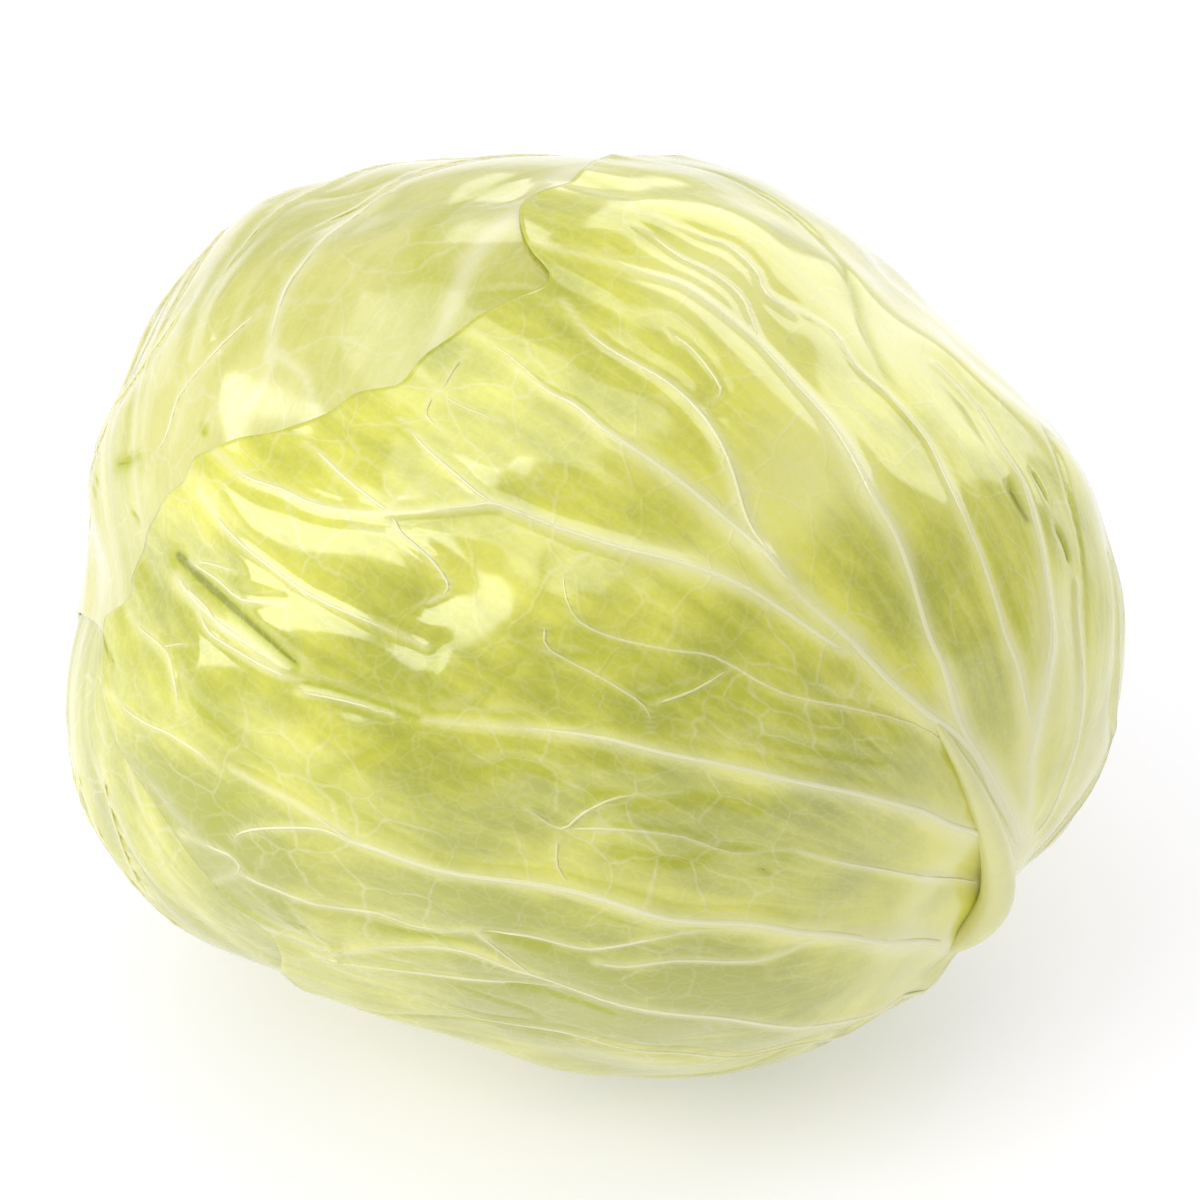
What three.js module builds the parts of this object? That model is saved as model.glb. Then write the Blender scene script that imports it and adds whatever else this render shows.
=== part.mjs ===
// A head of white cabbage lying on its side: a cut stalk, a dense heart and six wrapper leaves.
import * as THREE from 'three';

// Driving dimensions in millimetres and degrees
const OUTLINE_RADIUS = 93.5;
const HALF_DEPTH = 88;
const REST_DEPTH = 84;
const STEM_TILT = 32;
const BROAD_SIDE_AZIMUTH = 20;
const BROAD_SIDE_ELEVATION = 40;
const BLADE = 1.2;
const BLADE_AT_EDGE = 0.8;
const LAYER_PITCH = 2.7;
const EDGE_HUG = 0.2;
const EDGE_WAVE = 1.8;
const STALK_RADIUS = 13.5;
const STALK_INNER_END = 60;
const STALK_OUTER_END = 91.5;
const HEAD_CENTRE = { x: -0.2, y: 0.3 };

// Uneven lobes of the outline seen from the broad side: waves round it, height, heading of a crest
const LOBES = [
  { waves: 1, height: 2.3, crest: -167 },
  { waves: 2, height: 7.1, crest: -14 },
  { waves: 3, height: 1.7, crest: -24 },
  { waves: 4, height: 1.2, crest: 25 },
  { waves: 5, height: 2.4, crest: -5 },
  { waves: 6, height: 0.8, crest: 18 },
];

// Narrower swells of the same outline, and below 0 a dent, where the front leaf's stalk comes out
const SWELLS = [
  { heading: -36, width: 17, height: -6.2 },
  { heading: 18, width: 9, height: 2 },
  { heading: 175, width: 8, height: -2.4 },
  { heading: 121, width: 5, height: -1.6 },
];

const rad = THREE.MathUtils.degToRad;
const deg = THREE.MathUtils.radToDeg;
const smoothstep = THREE.MathUtils.smoothstep;
const lerp = THREE.MathUtils.lerp;
const wrap = (angle) => ((angle + 540) % 360) - 180;

// The broad side's own axes: to its right, up along it, and out of it
const azimuth = rad(BROAD_SIDE_AZIMUTH);
const elevation = rad(BROAD_SIDE_ELEVATION);
const OUT = new THREE.Vector3(
  Math.sin(azimuth) * Math.cos(elevation), -Math.cos(azimuth) * Math.cos(elevation), Math.sin(elevation));
const RIGHT = new THREE.Vector3(Math.cos(azimuth), Math.sin(azimuth), 0);
const UP = new THREE.Vector3().crossVectors(OUT, RIGHT);

// The stem axis runs out at the cut stalk. Swing 0 round it is on the broad side.
const STEM = new THREE.Vector3(Math.cos(rad(STEM_TILT)), 0, -Math.sin(rad(STEM_TILT)));
const SWING_ZERO = OUT.clone().addScaledVector(STEM, -OUT.dot(STEM)).normalize();
const SWING_QUARTER = new THREE.Vector3().crossVectors(STEM, SWING_ZERO);

// Direction at an angle from the stem axis and a swing round it
function towards(lean, swing) {
  return new THREE.Vector3()
    .addScaledVector(STEM, Math.cos(rad(lean)))
    .addScaledVector(SWING_ZERO, Math.sin(rad(lean)) * Math.cos(rad(swing)))
    .addScaledVector(SWING_QUARTER, Math.sin(rad(lean)) * Math.sin(rad(swing)));
}

// Distance from the head's centre to its outside: an ellipsoid with the lobed outline of the broad
// side, whose fine lobes fade on the far side, cut flat at the rest spot
function headRadius(direction) {
  const across = direction.dot(RIGHT);
  const along = direction.dot(UP);
  const out = direction.dot(OUT);
  const heading = Math.atan2(along, across);
  const nearSide = 1 - smoothstep(-out, 0, 0.6);
  let outline = OUTLINE_RADIUS;
  for (const lobe of LOBES) {
    const share = lobe.waves > 2 ? nearSide : 1;
    outline += share * lobe.height * Math.cos(lobe.waves * (heading - rad(lobe.crest)));
  }
  for (const swell of SWELLS) {
    outline += nearSide * swell.height * Math.exp(-((wrap(deg(heading) - swell.heading) / swell.width) ** 2));
  }
  const ellipsoid = 1 / Math.hypot(Math.hypot(across, along) / outline, out / HALF_DEPTH);
  return direction.z < 0 ? Math.min(ellipsoid, -REST_DEPTH / direction.z) : ellipsoid;
}

// Each leaf is a fan about a centre on its midrib: lean and swing place the centre, reach gives how
// far the blade goes from it at each heading (0 is towards the head's tip, 180 back to the stalk),
// and each rib runs from one heading at the centre to another at the margin, bowed between them. A
// rib with a start rises only from that share of the reach on.
const SIDE_RIBS = [
  { from: 0, to: 0, bow: 4, width: 9, height: 3.0 },
  { from: 34, to: 40, bow: 3, width: 5, height: 1.6, start: 0.3 },
  { from: 78, to: 84, bow: 4, width: 5, height: 1.6, start: 0.3 },
  { from: 130, to: 134, bow: 4, width: 4, height: 1.2, start: 0.3 },
  { from: 180, to: 180, bow: 0, width: 13, height: 5.0 },
  { from: -130, to: -134, bow: -4, width: 4, height: 1.2, start: 0.3 },
  { from: -78, to: -84, bow: -4, width: 5, height: 1.6, start: 0.3 },
  { from: -34, to: -40, bow: -3, width: 5, height: 1.6, start: 0.3 },
];

// The leaves from the innermost to the outermost, as they grew
const LEAVES = [
  {
    name: 'left_leaf', lean: 50, swing: 32.5, waves: 9, colour: 0xe4e7ad,
    reach: [[-180, 40.5], [-162, 46], [-140, 54], [-120, 62], [-90, 86], [-60, 98], [-30, 104], [0, 108], [30, 104],
      [60, 94], [90, 82], [120, 60], [140, 54],
      [162, 46]],
    ribs: SIDE_RIBS,
  },
  {
    name: 'back_leaf', lean: 50, swing: 170, waves: 8, colour: 0xdfe3a4,
    reach: [[-180, 40.5], [-162, 46], [-140, 54], [-120, 58], [-90, 82], [-60, 96], [-30, 108], [0, 112], [30, 106],
      [60, 98], [90, 88], [120, 64], [140, 54],
      [162, 46]],
    ribs: SIDE_RIBS,
  },
  {
    name: 'right_leaf', lean: 50, swing: -52.5, waves: 9, colour: 0xdce19a,
    reach: [[-180, 40.5], [-162, 46], [-140, 54], [-120, 62], [-90, 84], [-60, 100], [-30, 110], [0, 110], [30, 106],
      [60, 96], [90, 84], [120, 62], [140, 54],
      [162, 46]],
    ribs: SIDE_RIBS,
  },
  {
    name: 'under_leaf', lean: 50, swing: 85, waves: 8, colour: 0xd3da86,
    reach: [[-180, 40.5], [-162, 46], [-140, 54], [-120, 60], [-90, 78], [-60, 92], [-30, 100], [0, 104], [30, 104],
      [60, 98], [90, 88], [120, 64], [140, 54],
      [162, 46]],
    ribs: SIDE_RIBS,
  },
  {
    name: 'top_leaf', lean: 88, swing: -115, waves: 10, colour: 0xe0e4a6,
    reach: [[-180, 78.5], [-160, 80], [-140, 82], [-110, 84], [-75, 96], [-50, 112], [-30, 124], [-10, 131], [10, 138],
      [37, 126], [50, 116], [75, 90], [110, 75], [145, 79],
      [160, 80]],
    ribs: [
      { from: 0, to: 0, bow: 4, width: 7, height: 1.8 },
      { from: 26, to: 28, bow: 3, width: 5, height: 1.5, start: 0.25 },
      { from: 44, to: 50, bow: 0, width: 6, height: 1.8, start: 0.25 },
      { from: 84, to: 80, bow: 4, width: 5, height: 1.3, start: 0.25 },
      { from: 122, to: 114, bow: 4, width: 5, height: 1.3, start: 0.25 },
      { from: 152, to: 146, bow: 0, width: 4, height: 1.2, start: 0.25 },
      { from: 180, to: 180, bow: 0, width: 9, height: 4.2 },
      { from: -130, to: -126, bow: -4, width: 5, height: 1.3, start: 0.25 },
      { from: -88, to: -86, bow: -4, width: 5, height: 1.3, start: 0.25 },
      { from: -50, to: -54, bow: -3, width: 5, height: 1.5, start: 0.25 },
      { from: -20, to: -24, bow: -2, width: 5, height: 1.5, start: 0.25 },
    ],
  },
  {
    name: 'front_leaf', lean: 24.3, swing: -3.6, waves: 11, colour: 0xcdd676,
    reach: [[-180, 14.5], [-160, 18], [-142, 32], [-120, 56], [-100, 84], [-80, 110], [-61, 117], [-37, 112], [-19, 104],
      [-5, 106], [10, 116], [32, 125], [48, 124], [58, 105], [70, 92], [85, 90], [105, 66], [130, 40],
      [146, 26], [162, 17]],
    ribs: [
      { from: -30, to: -26, bow: 13, width: 8, height: 4.0 },
      { from: -14, to: 11, bow: -2, width: 5, height: 1.5 },
      { from: -2, to: 35, bow: 2, width: 5, height: 1.5 },
      { from: 50, to: 46, bow: -10, width: 6, height: 2.2 },
      { from: 96, to: 66, bow: -18, width: 5, height: 1.6 },
      { from: 126, to: 88, bow: -14, width: 5, height: 1.6 },
      { from: 152, to: 122, bow: 0, width: 4, height: 1.2 },
      { from: 180, to: 180, bow: 0, width: 13, height: 5.0 },
      { from: -150, to: -144, bow: 0, width: 4, height: 1.2 },
      { from: -120, to: -112, bow: 0, width: 5, height: 1.4 },
      { from: -92, to: -88, bow: 4, width: 5, height: 1.4 },
      { from: -66, to: -70, bow: 0, width: 5, height: 1.8 },
      { from: -46, to: -45, bow: 2, width: 5, height: 1.6 },
    ],
  },
];

// A leaf's own axes: its centre, the way to the tip, and the way across
for (const leaf of LEAVES) {
  leaf.centre = towards(leaf.lean, leaf.swing);
  leaf.ahead = STEM.clone().negate().addScaledVector(leaf.centre, STEM.dot(leaf.centre)).normalize();
  leaf.across = new THREE.Vector3().crossVectors(leaf.centre, leaf.ahead);
}

// How far the blade goes at a heading: a smooth curve through the leaf's reach points, closed on itself
function reachAt(leaf, heading) {
  const points = leaf.reach;
  const count = points.length;
  const at = wrap(heading);
  let last = count - 1;
  while (last > 0 && points[last][0] > at) last -= 1;
  const point = (index) => {
    const turn = Math.floor(index / count);
    const [angle, reach] = points[index - turn * count];
    return [angle + 360 * turn, reach];
  };
  const [before, start, end, after] = [last - 1, last, last + 1, last + 2].map(point);
  const span = end[0] - start[0];
  const t = (at - start[0]) / span;
  const startSlope = (end[1] - before[1]) / (end[0] - before[0]) * span;
  const endSlope = (after[1] - start[1]) / (after[0] - start[0]) * span;
  return start[1] * (1 + 2 * t) * (1 - t) ** 2 + startSlope * t * (1 - t) ** 2
    + end[1] * t * t * (3 - 2 * t) + endSlope * t * t * (t - 1);
}

// A direction in a leaf's fan: angle from the centre and heading
function inFan(leaf, direction) {
  const away = deg(Math.acos(THREE.MathUtils.clamp(direction.dot(leaf.centre), -1, 1)));
  const heading = deg(Math.atan2(direction.dot(leaf.across), direction.dot(leaf.ahead)));
  return { away, heading };
}

function fromFan(leaf, away, heading) {
  return new THREE.Vector3()
    .addScaledVector(leaf.centre, Math.cos(rad(away)))
    .addScaledVector(leaf.ahead, Math.sin(rad(away)) * Math.cos(rad(heading)))
    .addScaledVector(leaf.across, Math.sin(rad(away)) * Math.sin(rad(heading)));
}

// How far past the margin a direction lies, in millimetres along the head and square to the margin
const SLOPE_STEP = 2;
function pastEdge(leaf, direction) {
  const { away, heading } = inFan(leaf, direction);
  const turn = reachAt(leaf, heading + SLOPE_STEP) - reachAt(leaf, heading - SLOPE_STEP);
  const slant = Math.hypot(1, turn / (2 * SLOPE_STEP) / Math.max(Math.sin(rad(away)), 0.2));
  return rad(away - reachAt(leaf, heading)) * OUTLINE_RADIUS / slant;
}

// How much of a leaf's layer lies under a direction: all of it inside the margin, and a slope past
// it, down which the leaves above follow
const SLOPE_FROM = 5;
const SLOPE_TO = 28;
const SPREAD = 28;
const presence = (past) => 1 - smoothstep(past, SLOPE_FROM, SLOPE_TO);
const spreadPresence = (past) => 1 - smoothstep(past, -SPREAD, SPREAD);

// The inner face of a leaf: the head's outside, less the layers that grew later, spread evenly
function layerRadius(order, direction) {
  let radius = headRadius(direction);
  LEAVES.forEach((leaf, index) => {
    const past = pastEdge(leaf, direction);
    radius -= LAYER_PITCH * spreadPresence(past);
    if (index < order) radius += LAYER_PITCH * presence(past);
  });
  return radius;
}

// 0 under and close beside a later leaf, up to 1 well clear of all of them
const OPEN_FROM = 7;
const OPEN_AT = 26;
function openness(order, direction) {
  let open = 1;
  for (const leaf of LEAVES.slice(order + 1)) open *= smoothstep(pastEdge(leaf, direction), OPEN_FROM, OPEN_AT);
  return open;
}

// How low a leaf's outer face may come: the rest plane, less the later leaves that lie under it
const REST_PLANE = -REST_DEPTH + LAYER_PITCH - BLADE + 0.4;
function lowestPlane(order, direction) {
  let plane = REST_PLANE;
  for (const leaf of LEAVES.slice(order + 1)) plane += LAYER_PITCH * presence(pastEdge(leaf, direction));
  return plane;
}

// A rib's heading at a share of the blade's reach
function ribHeading(rib, share) {
  return rib.from + (rib.to - rib.from) * share + rib.bow * 4 * share * (1 - share);
}

// Height of a leaf's ribs at a place in its fan: rounded ridges that narrow and sink towards the margin
const WIDTH_LEFT = 0.45;
function ribRelief(leaf, away, heading, share) {
  let relief = 0;
  for (const rib of leaf.ribs) {
    const aside = rad(Math.abs(wrap(heading - ribHeading(rib, share)))) * OUTLINE_RADIUS * Math.sin(rad(away));
    const narrowing = lerp(1, WIDTH_LEFT, share);
    const ridge = Math.exp(-((aside / (0.5 * rib.width * narrowing)) ** 2));
    const sinking = lerp(1, 0.3, Math.sqrt(share));
    const risen = rib.start ? smoothstep(share, 0.3 * rib.start, rib.start) : 1;
    relief = Math.max(relief, rib.height * sinking * risen * ridge);
  }
  return relief;
}

// Rings out from a leaf's centre, as shares of its reach, alike on its two faces
const RINGS = [0.07, 0.15, 0.24, 0.33, 0.42, 0.51, 0.6, 0.69, 0.78, 0.86, 0.93, 1];
const WAVE_STARTS = 0.7;
const COVERED_RELIEF = 0.25;

// Columns of a leaf's mesh: each rib's crest with a flank on either side, and the valleys between
const FLANK = 0.26;
function columnsOf(leaf) {
  const ribs = [...leaf.ribs].sort((a, b) => a.from - b.from);
  const columns = [];
  ribs.forEach((rib, index) => {
    const next = ribs[(index + 1) % ribs.length];
    const turn = index + 1 === ribs.length ? 360 : 0;
    const gapAt = (share) => ribHeading(next, share) + turn - ribHeading(rib, share);
    const between = (part) => (share) => ribHeading(rib, share) + part * gapAt(share);
    columns.push(between(0), between(FLANK), between(0.5), between(1 - FLANK));
  });
  return columns;
}

// One leaf: an outer face that carries the ribs, an inner face, and the margin that joins them
function leafGeometry(order) {
  const leaf = LEAVES[order];
  const columns = columnsOf(leaf);
  const count = columns.length;
  const positions = [];
  const triangles = [];

  function place(share, column, outside) {
    const edgeHeading = column(1);
    const away = share * reachAt(leaf, edgeHeading);
    const heading = column(share);
    const direction = fromFan(leaf, away, heading);
    const open = openness(order, direction);
    const nearEdge = smoothstep(share, WAVE_STARTS, 1);
    const wave = 0.5 - 0.5 * Math.cos(leaf.waves * rad(edgeHeading));
    let radius = layerRadius(order, direction) - EDGE_HUG * nearEdge + EDGE_WAVE * nearEdge * wave * open;
    if (outside) {
      const relief = ribRelief(leaf, away, heading, share);
      radius += lerp(BLADE, BLADE_AT_EDGE, nearEdge);
      radius += lerp(Math.min(relief, COVERED_RELIEF), relief, open) * (1 - nearEdge);
    }
    const lowest = lowestPlane(order, direction) + (outside ? 0 : BLADE);
    const point = direction.multiplyScalar(radius);
    positions.push(point.x, point.y, Math.max(point.z, lowest));
    return positions.length / 3 - 1;
  }

  function face(outside) {
    const centre = place(0, columns[0], outside);
    const grid = RINGS.map((share) => columns.map((column) => place(share, column, outside)));
    const add = (a, b, c) => triangles.push(...(outside ? [a, b, c] : [a, c, b]));
    for (let c = 0; c < count; c += 1) {
      const next = (c + 1) % count;
      const widens = reachAt(leaf, columns[next](1)) > reachAt(leaf, columns[c](1));
      add(centre, grid[0][c], grid[0][next]);
      for (let r = 1; r < grid.length; r += 1) {
        const [a, b, c2, d] = [grid[r - 1][c], grid[r][c], grid[r][next], grid[r - 1][next]];
        if (widens) {
          add(a, b, d);
          add(b, c2, d);
        } else {
          add(a, b, c2);
          add(a, c2, d);
        }
      }
    }
    return grid[grid.length - 1];
  }

  const outerMargin = face(true);
  const innerMargin = face(false);
  for (let c = 0; c < count; c += 1) {
    const next = (c + 1) % count;
    triangles.push(outerMargin[c], innerMargin[c], outerMargin[next]);
    triangles.push(innerMargin[c], innerMargin[next], outerMargin[next]);
  }
  return closedGeometry(positions, triangles);
}

function closedGeometry(positions, triangles) {
  const geometry = new THREE.BufferGeometry();
  geometry.setAttribute('position', new THREE.Float32BufferAttribute(positions, 3));
  geometry.setIndex(triangles);
  geometry.computeVertexNormals();
  return geometry;
}

// A closed body of rings round the stem axis, from a first pole to a last one
function ringedGeometry(rings, sides, radiusAt) {
  const positions = [];
  const triangles = [];
  const put = (lean, swing) => {
    const direction = towards(lean, swing);
    const point = direction.clone().multiplyScalar(radiusAt(direction, lean, swing));
    positions.push(point.x, point.y, point.z);
    return positions.length / 3 - 1;
  };
  const first = put(rings[0], 0);
  const grid = rings.slice(1, -1).map((lean) =>
    Array.from({ length: sides }, (_, side) => put(lean, side * 360 / sides)));
  const last = put(rings[rings.length - 1], 0);
  for (let side = 0; side < sides; side += 1) {
    const next = (side + 1) % sides;
    triangles.push(first, grid[0][side], grid[0][next]);
    for (let ring = 1; ring < grid.length; ring += 1) {
      triangles.push(grid[ring - 1][side], grid[ring][side], grid[ring][next]);
      triangles.push(grid[ring - 1][side], grid[ring][next], grid[ring - 1][next]);
    }
    triangles.push(last, grid[grid.length - 1][next], grid[grid.length - 1][side]);
  }
  return closedGeometry(positions, triangles);
}

// The heart: young leaves folded tight, whose margins stand up as low spiral steps, with a recess
// for the stalk's inner end
const HEART_GAP = 1.4;
const HEART_STEP = 1.6;
const HEART_STEPS = 5;
const HEART_TWIST = 2.2;
const RECESS = { floor: 8.4, wall: 9.6, depth: STALK_INNER_END - 1.5 };
const COLLAR = { depth: 6, end: 32 };
function heartRadius(direction, lean, swing) {
  if (lean <= RECESS.floor) return RECESS.depth / Math.cos(rad(lean));
  const turn = (HEART_STEPS * swing / 360 + HEART_TWIST * lean / 180) % 1;
  const step = HEART_STEP * (1 - turn) * Math.sin(rad(lean));
  const collar = COLLAR.depth * (1 - smoothstep(lean, RECESS.wall, COLLAR.end));
  const radius = layerRadius(0, direction) - HEART_GAP - step - collar;
  return direction.z < 0 ? Math.min(radius, lowestPlane(-1, direction) / direction.z) : radius;
}
const HEART_RINGS = [0, 4, RECESS.floor, RECESS.wall, 13, 18, 25, 33, 41, 49, 57, 65, 73, 81, 89, 97, 105,
  113, 121, 129, 137, 145, 153, 161, 169, 175, 180];
const HEART_SIDES = 30;

// The stalk: a tapered stump along the stem axis with a flat cut end, ringed by old leaf scars
const SCARS = 5;
const SCAR_HEIGHT = 0.7;
function stalkGeometry() {
  const length = STALK_OUTER_END - STALK_INNER_END;
  const steps = 12;
  const profile = [new THREE.Vector2(0, STALK_INNER_END)];
  for (let step = 0; step <= steps; step += 1) {
    const share = step / steps;
    const taper = STALK_RADIUS * (STALK_INNER_END + share * length) / STALK_OUTER_END;
    const scar = SCAR_HEIGHT * Math.max(0, Math.sin(2 * Math.PI * SCARS * share)) * share;
    const rounding = 0.8 * smoothstep(share, 0.9, 1);
    profile.push(new THREE.Vector2(taper - scar - rounding, STALK_INNER_END + share * length));
  }
  profile.push(new THREE.Vector2(0, STALK_OUTER_END));
  const geometry = new THREE.LatheGeometry(profile, 20);
  const alongStem = new THREE.Quaternion().setFromUnitVectors(new THREE.Vector3(0, 1, 0), STEM);
  return geometry.applyQuaternion(alongStem);
}

const cabbage = new THREE.Group();
cabbage.position.set(HEAD_CENTRE.x, HEAD_CENTRE.y, -REST_PLANE);

function addPart(name, geometry, colour, roughness) {
  const material = new THREE.MeshStandardMaterial({ color: colour, roughness, metalness: 0 });
  const mesh = new THREE.Mesh(geometry, material);
  mesh.name = name;
  cabbage.add(mesh);
}

addPart('heart', ringedGeometry(HEART_RINGS, HEART_SIDES, heartRadius), 0xeff0c8, 0.5);
addPart('stalk', stalkGeometry(), 0xe9e8c6, 0.6);
LEAVES.forEach((leaf, order) => addPart(leaf.name, leafGeometry(order), leaf.colour, 0.38));

export default cabbage;
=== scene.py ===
from types import SimpleNamespace

import bpy
import mathutils
import numpy as np
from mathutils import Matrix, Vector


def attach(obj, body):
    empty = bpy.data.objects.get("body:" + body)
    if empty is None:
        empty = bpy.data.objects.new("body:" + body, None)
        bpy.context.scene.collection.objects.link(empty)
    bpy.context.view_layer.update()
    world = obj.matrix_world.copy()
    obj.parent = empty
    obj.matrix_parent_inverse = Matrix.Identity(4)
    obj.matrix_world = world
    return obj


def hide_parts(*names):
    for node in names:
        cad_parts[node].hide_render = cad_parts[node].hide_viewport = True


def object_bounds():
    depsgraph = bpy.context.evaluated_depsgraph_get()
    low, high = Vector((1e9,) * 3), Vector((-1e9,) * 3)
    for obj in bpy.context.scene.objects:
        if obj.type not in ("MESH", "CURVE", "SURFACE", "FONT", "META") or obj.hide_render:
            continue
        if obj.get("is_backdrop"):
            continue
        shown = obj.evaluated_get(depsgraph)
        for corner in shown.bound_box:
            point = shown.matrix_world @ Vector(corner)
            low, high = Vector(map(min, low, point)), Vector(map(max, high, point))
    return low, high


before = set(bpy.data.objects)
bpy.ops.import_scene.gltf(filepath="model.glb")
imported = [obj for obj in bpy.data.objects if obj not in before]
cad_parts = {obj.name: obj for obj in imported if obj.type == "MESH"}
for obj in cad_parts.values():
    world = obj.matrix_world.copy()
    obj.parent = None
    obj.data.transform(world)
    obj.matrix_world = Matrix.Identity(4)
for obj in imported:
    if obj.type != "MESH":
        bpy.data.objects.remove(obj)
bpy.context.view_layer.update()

# The head as it lies: an uneven ball of leaf round a stem axis that points to +X and down at the cut
# stalk, flattened where it rests on its outermost leaves. Its broad side faces -Y, a little to +X and up.
# Lengths are in millimetres from the head's centre until a mesh is made, and angles in degrees.
OUTLINE_RADIUS = 93.5
HALF_DEPTH = 88
REST_DEPTH = 84
BLADE = 1.2
BLADE_AT_EDGE = 0.6
LAYER_PITCH = 2.7
REST_PLANE = -REST_DEPTH + LAYER_PITCH - BLADE + 0.4
HEAD_CENTRE = np.array([-0.2, 0.3, -REST_PLANE])
SWELLS = [(-36, 17, -6.2), (18, 9, 2), (175, 8, -2.4), (121, 5, -1.6)]
LOBES = [(1, 2.3, -167), (2, 7.1, -14), (3, 1.7, -24), (4, 1.2, 25), (5, 2.4, -5), (6, 0.8, 18)]


def unit(vectors):
    """Each vector at length 1."""
    return vectors / np.linalg.norm(vectors, axis=-1, keepdims=True)


azimuth, elevation, tilt = np.radians([20, 40, 32])
OUT = np.array([
    np.sin(azimuth) * np.cos(elevation), -np.cos(azimuth) * np.cos(elevation), np.sin(elevation)])
RIGHT = np.array([np.cos(azimuth), np.sin(azimuth), 0])
UP = np.cross(OUT, RIGHT)
STEM = np.array([np.cos(tilt), 0, -np.sin(tilt)])
SWING_ZERO = unit(OUT - (OUT @ STEM) * STEM)
SWING_QUARTER = np.cross(STEM, SWING_ZERO)


def smoothstep(value, start, end):
    """3t^2 - 2t^3, where t goes from 0 at start to 1 at end and stays there."""
    t = np.clip((value - start) / (end - start), 0, 1)
    return t * t * (3 - 2 * t)


def blend(start, end, share):
    """start + (end - start) * share."""
    return start + (end - start) * share


def towards(lean, swing):
    """The direction at an angle from the stem axis and a swing round it, which is 0 on the broad side."""
    lean, swing = np.radians(lean)[..., None], np.radians(swing)[..., None]
    return np.cos(lean) * STEM + np.sin(lean) * (np.cos(swing) * SWING_ZERO + np.sin(swing) * SWING_QUARTER)


def head_radius(direction):
    """An ellipsoid whose outline on the broad side is a mean radius plus the lobes, each a height times
    cos(waves * (heading - crest)), and narrower swells, each a height times exp(-(aside / width)^2). The
    fine ones are on the near side only. It is cut flat at the rest depth."""
    across, along, out = direction @ RIGHT, direction @ UP, direction @ OUT
    heading = np.arctan2(along, across)
    near_side = 1 - smoothstep(-out, 0, 0.6)
    outline = np.full(across.shape, OUTLINE_RADIUS)
    for waves, height, crest in LOBES:
        outline += (near_side if waves > 2 else 1) * height * np.cos(waves * (heading - np.radians(crest)))
    for middle, width, height in SWELLS:
        aside = (np.degrees(heading) - middle + 540) % 360 - 180
        outline += near_side * height * np.exp(-(aside / width) ** 2)
    ellipsoid = 1 / np.hypot(np.hypot(across, along) / outline, out / HALF_DEPTH)
    down = np.minimum(direction[..., 2], -1e-6)
    return np.where(direction[..., 2] < 0, np.minimum(ellipsoid, -REST_DEPTH / down), ellipsoid)


# The photographer's view: down on the broad side from far off, through a long lens. The eye stands a little
# aside, so that the head's outline falls where it does in the photograph.
VIEW_DISTANCE = 900
FOCAL_PIXELS = 4734
PIXELS_PER_MM = FOCAL_PIXELS / VIEW_DISTANCE
IMAGE_WIDTH = 1200
IMAGE_MIDDLE = IMAGE_WIDTH / 2
SENSOR_WIDTH = 36
eye = VIEW_DISTANCE * OUT + 0.57 * RIGHT + 1.52 * UP
camera_data = bpy.data.cameras.new("camera")
camera_data.sensor_width = SENSOR_WIDTH
camera_data.lens = SENSOR_WIDTH * FOCAL_PIXELS / IMAGE_WIDTH
camera = bpy.data.objects.new("camera", camera_data)
camera.location = (HEAD_CENTRE + eye) / 1000
camera.rotation_euler = (np.pi / 2 - elevation, 0, azimuth)
bpy.context.scene.collection.objects.link(camera)
bpy.context.scene.camera = camera


def rays(pixels):
    """The directions from the camera through pixels of the photograph."""
    right, down = (pixels - IMAGE_MIDDLE).T
    return unit(-OUT * FOCAL_PIXELS + np.outer(right, RIGHT) + np.outer(-down, UP))


def from_photo(pixels, lower=0):
    """Where the ray through each pixel of the photograph meets the head's outside, or a face that lies lower
    by so much, as a direction from its centre: steps along the ray until the distance is right."""
    ray = rays(np.asarray(pixels, float))
    reach = np.full(len(ray), VIEW_DISTANCE - 130.0)
    for _ in range(90):
        place = eye + ray * reach[:, None]
        far = np.linalg.norm(place, axis=1)
        reach += np.clip(0.8 * (far + lower - head_radius(place / far[:, None])), -5, 5)
        reach = np.minimum(reach, VIEW_DISTANCE)
    return place / far[:, None]


# The wrapper leaves, innermost first, as they grew. Each is a fan about a centre on its midrib: lean and
# swing place the centre, and reach says how far the blade goes at each heading (0 to the tip of the head).
def side_reach(*reach):
    """A side leaf's reach: like the other side leaves' round the stalk, and given every 30 degrees ahead."""
    return [(-180, 40.5), (-162, 46), (-140, 54), *zip(range(-120, 121, 30), reach), (140, 54), (162, 46)]


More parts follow.
